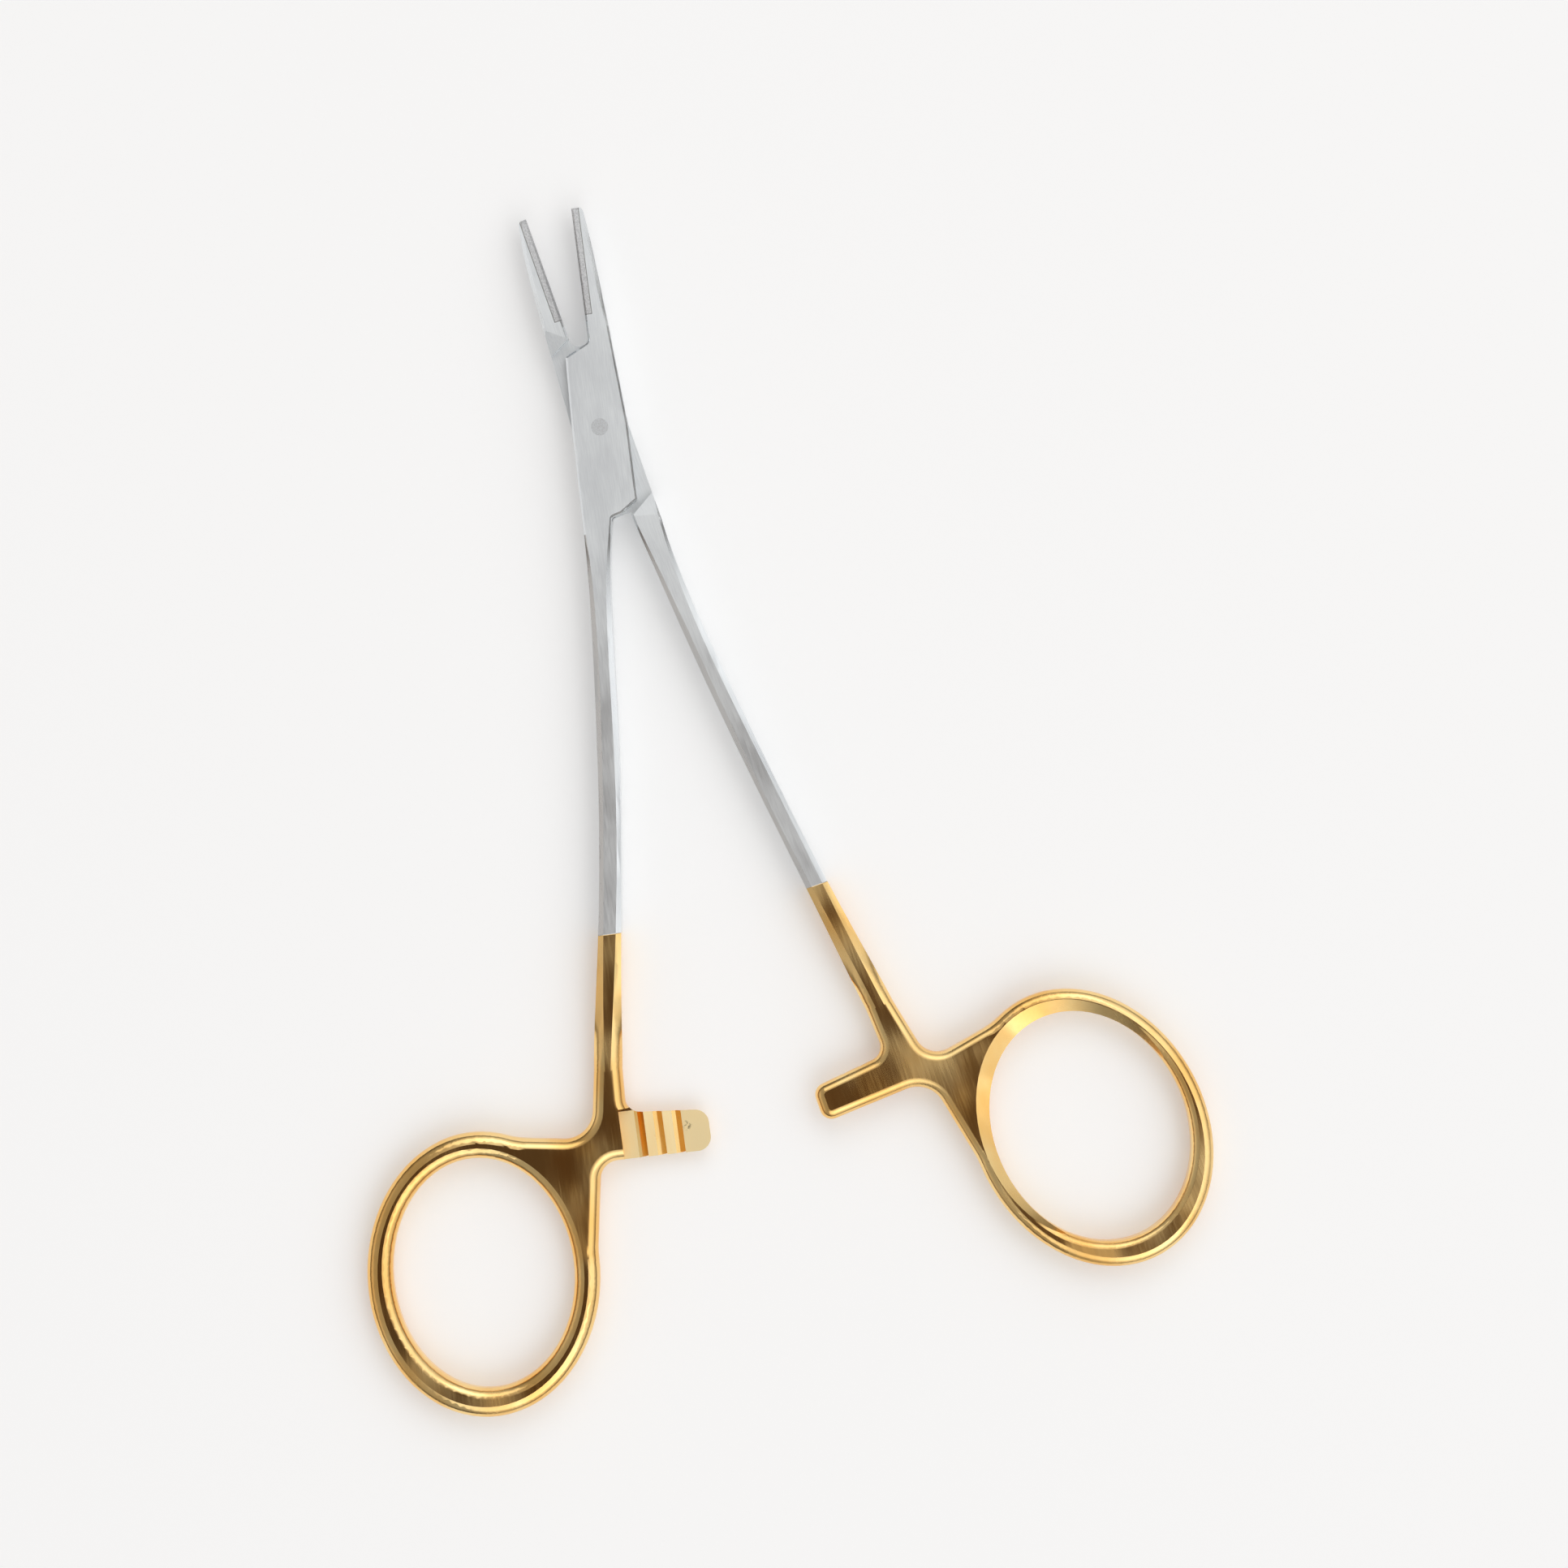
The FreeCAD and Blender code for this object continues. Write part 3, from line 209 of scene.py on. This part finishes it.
def make_gold_group():
    """Polished gold plate: warm clouds, rubbed blotches, hairline wipe marks and a few pits.

    Haze is how dull handling has left it.
    """
    group, into, out = start_group("gold_plate", {"Place": "Vector", "Haze": "Float"},
                                   FINISH_SOCKETS)
    place = into["Place"]
    clouds = stretched_noise(group, place, "warm clouds", (170.0, 110.0, 170.0), 3.0)
    hairlines = stretched_noise(group, place, "hairlines", (5200.0, 260.0, 5200.0), 2.0)
    blotches = stretched_noise(group, place, "rubbed blotches", (190.0, 130.0, 190.0), 1.0)
    waves = stretched_noise(group, place, "polishing waves", (110.0, 80.0, 110.0), 1.0)
    pitted_places = stretched_noise(group, place, "where pits are", (90.0, 90.0, 90.0), 1.0)
    cells = add_node(group, "ShaderNodeTexVoronoi", "pits", Vector=place, Scale=520.0)
    pits = reckon(group, "few pits", "MULTIPLY",
                  remap(group, cells.outputs["Distance"], "pit mask", (0.02, 0.07), FALLING),
                  remap(group, pitted_places, "pitted places", (0.55, 0.62)))
    warmth = remap(group, clouds, "warmth", NOISE_SPREAD)
    rubbed = reckon(group, "hairlines and blotches", "ADD",
                    remap(group, hairlines, "hairline dulling", (0.35, 0.75), (-0.02, 0.03)),
                    remap(group, blotches, "blotch dulling", (0.34, 0.72), (0.0, BLOTCH_DULLING)))
    dull_pits = reckon(group, "dull pits", "MULTIPLY", pits, PIT_DULLING)
    relief = reckon(group, "hairlines on waves", "MULTIPLY_ADD", hairlines, HAIRLINE_HEIGHT, waves)
    feed(group, out["Color"], blend(group, "gold tone", "RGBA", warmth, GOLD_DEEP, GOLD_LIGHT))
    polish = reckon(group, "polish", "ADD", rubbed, dull_pits)
    feed(group, out["Roughness"], reckon(group, "gold roughness", "ADD", polish, into["Haze"]))
    feed(group, out["Height"],
         reckon(group, "pits on waves", "MULTIPLY_ADD", pits, PIT_HEIGHT, relief))
    return group


ARM_ACROSS = (-0.0079, 0.002)
ARM_ALONG = (-0.0772, -0.0715)
HUB_FACE = 0.0023
CREST_FACING = (0.93, 0.97)
# The pale tone of the milled gold is a painted highlight; only the dullness of the milled face is
# real.
PALE_GOLD_PAINTED_HIGHLIGHT = (1.0, 0.82, 0.48, 1.0)
MILLED_DULLING = 0.48
SMUDGE_TONE = (0.30, 0.24, 0.12, 1.0)
SMUDGE_ACROSS = -0.00073
SMUDGE_ALONG = -0.0739
SMUDGE_REACH = (0.0002, 0.0008)


def mill_arm_and_paint_highlight(tree, place, normal, colour, rough):
    """Turns the gold matt on the ratchet arm's upper face and paints it paler there as a painted
    highlight, with one smudge of dirt.
    """
    across, along, up = split(tree, "place on the arm", place)
    facing_up = split(tree, "which way the arm faces", normal)["Z"]
    milled = remap(tree, facing_up, "crests and flats", CREST_FACING)
    for label, operation, value, edge in (
        ("right of arm start", "GREATER_THAN", across, ARM_ACROSS[0]),
        ("left of arm end", "LESS_THAN", across, ARM_ACROSS[1]),
        ("above arm bottom", "GREATER_THAN", along, ARM_ALONG[0]),
        ("below arm top", "LESS_THAN", along, ARM_ALONG[1]),
        ("under hub face", "LESS_THAN", up, HUB_FACE),
    ):
        milled = reckon(tree, "and " + label, "MULTIPLY", milled,
                        reckon(tree, label, operation, value, edge))
    away = reckon(tree, "from the smudge", "ADD",
                  distance_from(tree, "across from the smudge", across, SMUDGE_ACROSS),
                  distance_from(tree, "along from the smudge", along, SMUDGE_ALONG))
    dirt = stretched_noise(tree, place, "rubbed dirt", (3500.0, 3500.0, 3500.0), 2.0)
    smudge = reckon(tree, "dirt near", "MULTIPLY",
                    remap(tree, away, "near the smudge", SMUDGE_REACH, FALLING),
                    remap(tree, dirt, "dirt", (0.48, 0.60)))
    smudge = reckon(tree, "on the milled face", "MULTIPLY", milled, smudge)
    # Painted highlight: the crests and flats of the milled face take a paler gold.
    colour = blend(tree, "polished, or milled with painted highlight", "RGBA", milled, colour, PALE_GOLD_PAINTED_HIGHLIGHT)
    colour = blend(tree, "smudge", "RGBA", smudge, colour, SMUDGE_TONE)
    return colour, reckon(tree, "milled arm face", "MULTIPLY_ADD", milled, MILLED_DULLING, rough)


BRAZE_TONE = (0.26, 0.255, 0.24, 1.0)
SEAT_SIDE = 0.00072
SEAT_END = 0.0119
SEAM_HALF_WIDTH = 0.00005
SEAM_EDGE = (SEAM_HALF_WIDTH, 0.00009)


def make_seam_group():
    """Where the thin line of braze lies, beside the carbide plate and below it.

    Jaw Side is 1 for a jaw to the right of the half's axis and -1 for one to its left.
    """
    group, into, out = start_group("braze_seam", {"Place": "Vector", "Jaw Side": "Float"},
                                   {"Seam": "Float"})
    across, along, up = split(group, "across and along", into["Place"])
    outward = reckon(group, "out from closing face", "MULTIPLY", across, into["Jaw Side"])
    from_side = distance_from(group, "from seat side", outward, SEAT_SIDE)
    from_end = distance_from(group, "from seat end", along, SEAT_END)
    beside = reckon(group, "seam beside the plate", "MULTIPLY",
                    remap(group, from_side, "side seam width", SEAM_EDGE, FALLING),
                    reckon(group, "above the seat end", "GREATER_THAN", along,
                           SEAT_END - SEAM_HALF_WIDTH))
    below = reckon(group, "seam below the plate", "MULTIPLY",
                   remap(group, from_end, "end seam width", SEAM_EDGE, FALLING),
                   reckon(group, "inside the seat", "LESS_THAN", outward,
                          SEAT_SIDE + SEAM_HALF_WIDTH))
    feed(group, out["Seam"], reckon(group, "braze seam", "MAXIMUM", beside, below))
    return group


def start_metal(name):
    """A new metallic material, its node tree, its shader and its texture coordinates."""
    material = bpy.data.materials.new(name)
    material.use_nodes = True
    tree = material.node_tree
    shader = tree.nodes["Principled BSDF"]
    shader.inputs["Metallic"].default_value = 1.0
    return material, tree, shader, add_node(tree, "ShaderNodeTexCoord", "place on the instrument")


PLATING_LINE = -0.0528
PLATING_BLUR = 0.00006
RELIEF_HEIGHT = 0.0001
satin_group = make_satin_group()
gold_group = make_gold_group()
seam_group = make_seam_group()


def make_forging_material(name, lean_degrees, jaw_side, haze, arm_shows):
    """Satin steel that turns to gold plate below the plating line, in the half's own axes.

    lean_degrees turns the half back to where it lies closed, and jaw_side is 1 or -1 for a jaw to
    the right or left of its axis. haze is how dull handling has left the gold. arm_shows is
    whether the milled face of the half's ratchet arm is the one that can be seen.
    """
    material, tree, shader, spot = start_metal(name)
    turned = add_node(tree, "ShaderNodeMapping", "along the half", vector_type="POINT",
                      Vector=spot.outputs["Object"],
                      Rotation=(0.0, 0.0, math.radians(-lean_degrees)))
    place = turned.outputs["Vector"]
    normal = spot.outputs["Normal"]
    steel = add_node(tree, "ShaderNodeGroup", "satin steel", node_tree=satin_group,
                     Place=place, Normal=normal).outputs
    gold = add_node(tree, "ShaderNodeGroup", "gold plate", node_tree=gold_group,
                    Place=place, Haze=haze).outputs
    seam = add_node(tree, "ShaderNodeGroup", "braze seam", node_tree=seam_group,
                    Place=place, Jaw_Side=jaw_side).outputs["Seam"]
    gold_colour, gold_rough = gold["Color"], gold["Roughness"]
    if arm_shows:
        gold_colour, gold_rough = mill_arm_and_paint_highlight(tree, place, normal, gold_colour, gold_rough)
    plated = remap(tree, split(tree, "across and along", place)["Y"], "below the plating line",
                   (PLATING_LINE - PLATING_BLUR, PLATING_LINE + PLATING_BLUR), FALLING)
    colour = blend(tree, "steel or gold", "RGBA", plated, steel["Color"], gold_colour)
    colour = blend(tree, "steel or braze", "RGBA", seam, colour, BRAZE_TONE)
    rough = blend(tree, "satin or polish", "VALUE", plated, steel["Roughness"], gold_rough)
    height = blend(tree, "relief of either", "VALUE", plated, steel["Height"], gold["Height"])
    bump = add_node(tree, "ShaderNodeBump", "fine relief", Strength=1.0, Distance=RELIEF_HEIGHT,
                    Height=height)
    feed(tree, shader.inputs["Base Color"], colour)
    feed(tree, shader.inputs["Roughness"], rough)
    feed(tree, shader.inputs["Normal"], bump.outputs["Normal"])
    return material


def dress(node_name, material):
    """Gives a carried-over solid its finish."""
    solid = nodes[node_name]
    for slot in solid.material_slots:
        slot.link = "OBJECT"
        slot.material = material


BOX_SIDE_HAZE = 0.075
dress("box_half", make_forging_material("outer_forging_finish", 0.0, 1.0, BOX_SIDE_HAZE, True))

# Inner forging.
# The inner half is one stainless forging too: left jaw, the thin tongue through the box, right
# shank and right finger ring. It has the same satin and the same gold plate, and lies open by
# twelve degrees. More handling has left its gold duller.

OPEN_DEGREES = 12.0
TONGUE_SIDE_HAZE = 0.115
dress("tongue_half", make_forging_material("inner_forging_finish", OPEN_DEGREES, -1.0,
                                           TONGUE_SIDE_HAZE, False))

# Pivot pin.
# The pin is a steel rivet through both cheeks of the box and the tongue. Its ends are hammered
# over and ground flush, so they show only as a disc a little darker than the box.

PIN_TONE = (0.62, 0.63, 0.635, 1.0)
PIN_ROUGHNESS = (0.50, 0.58)


def make_grain_group():
    """One fine noise, as wide as 1 / Stretch, that both the tone and the roughness follow."""
    group, into, out = start_group(
        "fine_grain",
        {"Place": "Vector", "Stretch": "Vector", "Dark": "Color", "Light": "Color",
         "Dark Below": "Float", "Light Above": "Float", "Smoothest": "Float", "Dullest": "Float"},
        {"Color": "Color", "Roughness": "Float"},
    )
    grain = stretched_noise(group, into["Place"], "grain", into["Stretch"], 3.0)
    lightness = remap(group, grain, "tone", (into["Dark Below"], into["Light Above"]))
    feed(group, out["Color"],
         blend(group, "grained tone", "RGBA", lightness, into["Dark"], into["Light"]))
    feed(group, out["Roughness"],
         remap(group, grain, "satin", NOISE_SPREAD, (into["Smoothest"], into["Dullest"])))
    return group


grain_group = make_grain_group()


def make_grained_metal(name, stretch, tones, tone_spread, roughness):
    """Plain metal with a fine grain."""
    material, tree, shader, spot = start_metal(name)
    grain = add_node(tree, "ShaderNodeGroup", "grain", node_tree=grain_group,
                     Place=spot.outputs["Object"], Stretch=stretch, Dark=tones[0], Light=tones[1],
                     Dark_Below=tone_spread[0], Light_Above=tone_spread[1],
                     Smoothest=roughness[0], Dullest=roughness[1]).outputs
    feed(tree, shader.inputs["Base Color"], grain["Color"])
    feed(tree, shader.inputs["Roughness"], grain["Roughness"])
    return material


dress("pivot_pin", make_grained_metal("pin_finish", (9000.0, 7000.0, 9000.0),
                                      (PIN_TONE, STEEL_DARK), NOISE_SPREAD, PIN_ROUGHNESS))

# Carbide jaw plates.
# Each jaw carries a plate of sintered tungsten carbide, darker than the steel, which is brazed into
# a seat along its closing side. Its grip face is cross cut with a grinding wheel, to hold a needle.

CARBIDE_DARK = (0.56, 0.565, 0.575, 1.0)
CARBIDE_LIGHT = (0.72, 0.725, 0.73, 1.0)
CARBIDE_SPREAD = (0.4, 0.6)
CARBIDE_ROUGHNESS = (0.46, 0.56)
carbide_finish = make_grained_metal("carbide_finish", (6000.0, 6000.0, 6000.0),
                                    (CARBIDE_DARK, CARBIDE_LIGHT), CARBIDE_SPREAD,
                                    CARBIDE_ROUGHNESS)
CUT_PITCH = 0.0005
CUT_HALF_WIDTH = 0.00013
CUT_DEPTH = 0.00005
CUT_OVERRUN = 0.004
CUT_WAYS = (Vector((0.0, 1.0, 1.0)).normalized(), Vector((0.0, 1.0, -1.0)).normalized())
SAME_PLANE = 2e-6
SAME_POINT = 1e-7
plate_low, plate_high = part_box("box_jaw_insert")
CUT_MIDDLE = (plate_low[2] + plate_high[2]) / 2


def cut_share(vertex):
    """How deep the grooves are at a vertex: 1 in the middle of one, and 0 between them."""
    share = 0.0
    for across_grooves in CUT_WAYS:
        run = Vector((0.0, vertex.co.y, vertex.co.z - CUT_MIDDLE)).dot(across_grooves)
        spacing = CUT_PITCH * across_grooves.y
        miss = abs(run / spacing - round(run / spacing)) * spacing
        share = max(share, 1.0 - miss / CUT_HALF_WIDTH)
    return share


def cut_grip_face(node_name, jaw_side, lean_degrees, side_body):
    """A carbide plate whose flat grip face is cross cut with two sets of slanting grooves."""
    solid = nodes[node_name]
    shape = bmesh.new()
    shape.from_mesh(solid.data)
    for face in shape.faces:
        face.smooth = False
    shape.transform(solid.matrix_world)
    closed = Matrix.Rotation(math.radians(-lean_degrees), 4, "Z")
    shape.transform(closed)
    bmesh.ops.remove_doubles(shape, verts=shape.verts, dist=SAME_POINT)
    face_x = min(jaw_side * vertex.co.x for vertex in shape.verts)
    low = min(vertex.co.y for vertex in shape.verts)
    high = max(vertex.co.y for vertex in shape.verts)

    def in_grip_plane(vertex):
        return abs(jaw_side * vertex.co.x - face_x) < SAME_PLANE

    def on_grip_face(face):
        return all(in_grip_plane(vertex) for vertex in face.verts)

    first = math.floor((low - CUT_OVERRUN) / CUT_PITCH)
    last = math.ceil((high + CUT_OVERRUN) / CUT_PITCH)
    for across_grooves in CUT_WAYS:
        for step in range(first, last + 1):
            for offset in (-CUT_HALF_WIDTH, 0.0, CUT_HALF_WIDTH):
                point = Vector((0.0, step * CUT_PITCH, CUT_MIDDLE)) + across_grooves * offset
                faces = [face for face in shape.faces if on_grip_face(face)]
                edges = {edge for face in faces for edge in face.edges}
                verts = {vertex for face in faces for vertex in face.verts}
                bmesh.ops.bisect_plane(shape, geom=list(verts) + list(edges) + faces,
                                       dist=SAME_POINT, plane_co=point, plane_no=across_grooves)
    rim = {vertex for edge in shape.edges for vertex in edge.verts
           if len({on_grip_face(face) for face in edge.link_faces}) == 2}
    for vertex in shape.verts:
        if vertex not in rim and in_grip_plane(vertex):
            vertex.co.x += jaw_side * CUT_DEPTH * cut_share(vertex)
    shape.transform(closed.inverted())
    mesh = bpy.data.meshes.new(node_name + "_cut")
    shape.to_mesh(mesh)
    shape.free()
    mesh.materials.append(carbide_finish)
    plate = bpy.data.objects.new(node_name + "_cut", mesh)
    bpy.context.scene.collection.objects.link(plate)
    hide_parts(node_name)
    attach(plate, side_body)


cut_grip_face("box_jaw_insert", 1.0, 0.0, "box_side")
cut_grip_face("tongue_jaw_insert", -1.0, OPEN_DEGREES, "tongue_side")

# Camera.
# The instrument is photographed from straight above, a little turned, and fills most of a square
# picture.

PHOTO_LEAN = math.radians(7.6)
PHOTO_MIDDLE = Vector((0.01418, -0.0396, 0.0021))
CAMERA_HEIGHT = 0.40
PICTURE_WIDTH = 0.16495
SENSOR_WIDTH = 36.0

camera_data = bpy.data.cameras.new("photo_camera")
camera_data.sensor_width = SENSOR_WIDTH
camera_data.lens = SENSOR_WIDTH * CAMERA_HEIGHT / PICTURE_WIDTH
camera_data.clip_start = 0.01
camera = bpy.data.objects.new("photo_camera", camera_data)
camera.location = PHOTO_MIDDLE + Vector((0.0, 0.0, CAMERA_HEIGHT))
camera.rotation_euler = (0.0, 0.0, -PHOTO_LEAN)
bpy.context.scene.collection.objects.link(camera)
bpy.context.scene.camera = camera

# Table.
# The instrument lies on plain matt paper. The paper glows a little to whatever looks at it, so that
# it comes out white while the lamps stay at a level that suits the steel.

TABLE_TONE = (0.93, 0.93, 0.93, 1.0)
TABLE_GLOW = 0.18
TABLE_REACH = 4.0
TABLE_DROP = 0.00002

table_mesh = bpy.data.meshes.new("table")
table_shape = bmesh.new()
bmesh.ops.create_grid(table_shape, x_segments=8, y_segments=8, size=TABLE_REACH)
table_shape.to_mesh(table_mesh)
table_shape.free()
table = bpy.data.objects.new("table", table_mesh)
table.location = (0.0, 0.0, -TABLE_DROP)
bpy.context.scene.collection.objects.link(table)
table_finish = bpy.data.materials.new("table_paper")
table_finish.use_nodes = True
table_tree = table_finish.node_tree
table_shader = table_tree.nodes["Principled BSDF"]
table_shader.inputs["Base Color"].default_value = TABLE_TONE
table_shader.inputs["Roughness"].default_value = 0.9
table_shader.inputs["Specular IOR Level"].default_value = 0.1
table_shader.inputs["Emission Color"].default_value = (1.0, 1.0, 1.0, 1.0)
rays = add_node(table_tree, "ShaderNodeLightPath", "what looks at the table").outputs
seen = reckon(table_tree, "camera or glossy", "ADD", rays["Is Camera Ray"], rays["Is Glossy Ray"])
seen = reckon(table_tree, "or transmission", "ADD", seen, rays["Is Transmission Ray"])
feed(table_tree, table_shader.inputs["Emission Strength"],
     reckon(table_tree, "paper glow", "MULTIPLY", seen, TABLE_GLOW))
table_mesh.materials.append(table_finish)

# Soft boxes.
# Three large soft boxes stand round the table, at the right, beyond it and before it, each aimed
# down at the instrument. The one at the right is the faintest.

SOFT_BOX_DISTANCE = 0.9
SOFT_BOX_WIDTH = 0.80


def add_soft_box(name, bearing, rise, height, brightness):
    """A soft box at a bearing and rise, in degrees in the picture, aimed at the instrument."""
    lamp = bpy.data.lights.new(name, "AREA")
    lamp.shape = "RECTANGLE"
    lamp.size = SOFT_BOX_WIDTH
    lamp.size_y = height
    lamp.energy = brightness * math.pi * SOFT_BOX_WIDTH * height
    holder = bpy.data.objects.new(name, lamp)
    turn = math.radians(bearing) - PHOTO_LEAN
    up = math.radians(rise)
    aim = Vector((math.cos(up) * math.cos(turn), math.cos(up) * math.sin(turn), math.sin(up)))
    holder.location = PHOTO_MIDDLE + aim * SOFT_BOX_DISTANCE
    holder.rotation_euler = aim.to_track_quat("Z", "Y").to_euler()
    bpy.context.scene.collection.objects.link(holder)


add_soft_box("soft_box_right", 10.0, 52.0, 0.60, 0.26)
add_soft_box("soft_box_top", 95.0, 50.0, 0.50, 0.66)
add_soft_box("soft_box_front", 285.0, 50.0, 0.50, 0.60)

# Tent.
# A white tent stands round it all: dim at table height, bright above it, and dark straight
# overhead, where the camera looks through. Its left side is the dimmer one.

TENT_STRENGTH = 1.16
TONES_BY_HEIGHT = (
    (0.0, (0.22, 0.21, 0.20, 1.0)),
    (0.17, (0.36, 0.35, 0.34, 1.0)),
    (0.36, (0.80, 0.80, 0.80, 1.0)),
    (0.60, (1.0, 1.0, 1.0, 1.0)),
    (0.90, (0.92, 0.92, 0.92, 1.0)),
    (0.962, (0.86, 0.83, 0.80, 1.0)),
    (0.982, (0.10, 0.066, 0.042, 1.0)),
)
TONES_BY_SIDE = (
    (0.0, (0.66, 0.61, 0.57, 1.0)),
    (0.07, (0.62, 0.57, 0.53, 1.0)),
    (0.15, (0.36, 0.35, 0.34, 1.0)),
    (0.34, (0.32, 0.32, 0.32, 1.0)),
    (0.50, (0.80, 0.80, 0.80, 1.0)),
    (0.64, (0.97, 0.97, 0.97, 1.0)),
    (0.84, (0.80, 0.80, 0.80, 1.0)),
    (1.0, (0.74, 0.74, 0.74, 1.0)),
)


def tone_ramp(tree, label, value, tones):
    """A colour ramp through places and their tones."""
    ramp = add_node(tree, "ShaderNodeValToRGB", label, Fac=value)
    stops = ramp.color_ramp.elements
    for place, tone in tones[1:-1]:
        stops.new(place)
    for stop, (place, tone) in zip(sorted(stops, key=lambda stop: stop.position), tones):
        stop.position = place
        stop.color = tone
    return ramp.outputs["Color"]


world = bpy.data.worlds.new("studio_tent")
world.use_nodes = True
bpy.context.scene.world = world
sky = world.node_tree
background = sky.nodes["Background"]
direction = add_node(sky, "ShaderNodeTexCoord", "direction").outputs["Generated"]
heading = split(sky, "heading and rise", direction)
sideways = reckon(sky, "left to right", "MULTIPLY_ADD", heading["X"], 0.5, 0.5)
tent = blend(sky, "height and side", "RGBA", 1.0,
             tone_ramp(sky, "tones by height", heading["Z"], TONES_BY_HEIGHT),
             tone_ramp(sky, "tones by side", sideways, TONES_BY_SIDE), blend_type="MULTIPLY")
feed(sky, background.inputs["Color"], tent)
background.inputs["Strength"].default_value = TENT_STRENGTH

bpy.context.scene.view_settings.view_transform = "Standard"
